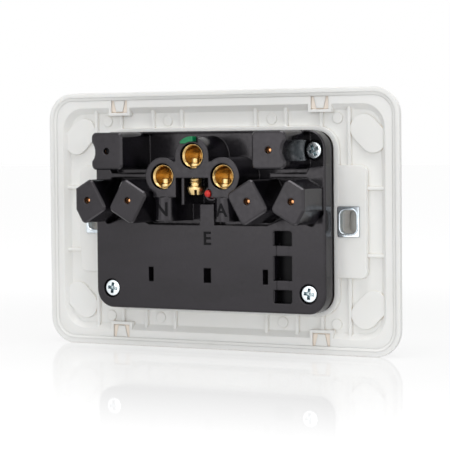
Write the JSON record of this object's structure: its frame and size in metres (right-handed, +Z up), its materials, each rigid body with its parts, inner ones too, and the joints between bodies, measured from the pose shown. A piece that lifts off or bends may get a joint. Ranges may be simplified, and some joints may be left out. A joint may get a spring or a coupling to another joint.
{
  "type": "double switched socket outlet",
  "caption": "Wall outlet plate with flat-pin sockets and rocker switches on its front and a black moulded housing with tunnel terminals on its wiring side.",
  "frame": {"origin": "on the wall plane, midway between the two wall-screw slots", "axes": "+Y into the wall, away from the socket face; +Z up as pictured, with the earth pins on top; +X towards the left of the wiring side"},
  "size_m": [0.116, 0.0306, 0.076],
  "materials": {
    "white_plastic": "satin",
    "black_plastic": "matte",
    "insert_steel": "zinc plated",
    "zinc_steel": "bright zinc plated",
    "brass": "machined",
    "copper": "pressed copper alloy",
    "green_plastic": "gloss",
    "red_plastic": "gloss"
  },
  "bodies": {
    "outlet": {"front_cover": "white_plastic", "base_plate": "white_plastic", "rear_housing": "black_plastic", "mounting_insert_left": "insert_steel", "mounting_insert_right": "insert_steel", "housing_screws": "zinc_steel", "terminal_earth": "brass", "terminal_neutral": "brass", "terminal_active": "brass", "terminal_screw_earth": "brass", "terminal_screw_neutral": "brass", "terminal_screw_active": "brass", "earth_bar": "copper", "neutral_bar": "copper", "active_bar": "copper", "active_contact_left": "copper", "active_contact_right": "copper", "earth_marker": "green_plastic", "active_marker": "red_plastic"},
    "left_rocker": {"rocker_left": "white_plastic", "plunger_left": "white_plastic", "plunger_spring_left": "zinc_steel"},
    "right_rocker": {"rocker_right": "white_plastic", "plunger_right": "white_plastic", "plunger_spring_right": "zinc_steel"},
    "left_seesaw": {"moving_contact_left": "copper"},
    "right_seesaw": {"moving_contact_right": "copper"}
  },
  "joints": [
    {"name": "left_switch", "type": "hinge", "parent": "outlet", "child": "left_rocker", "pos_m": [0.029, -0.0064, -0.0098], "axis": [1, 0, 0], "range_deg": [0, 12]},
    {"name": "left_contact", "type": "hinge", "parent": "outlet", "child": "left_seesaw", "pos_m": [0.029, -0.002, -0.0098], "axis": [1, 0, 0], "range_deg": [-16, 0]},
    {"name": "right_switch", "type": "hinge", "parent": "outlet", "child": "right_rocker", "pos_m": [-0.029, -0.0064, -0.0098], "axis": [1, 0, 0], "range_deg": [0, 12]},
    {"name": "right_contact", "type": "hinge", "parent": "outlet", "child": "right_seesaw", "pos_m": [-0.029, -0.002, -0.0098], "axis": [1, 0, 0], "range_deg": [-16, 0]}
  ],
  "couplings": [
    {"joint": "left_contact", "follows": "left_switch", "ratio": -1.3333},
    {"joint": "right_contact", "follows": "right_switch", "ratio": -1.3333}
  ]
}
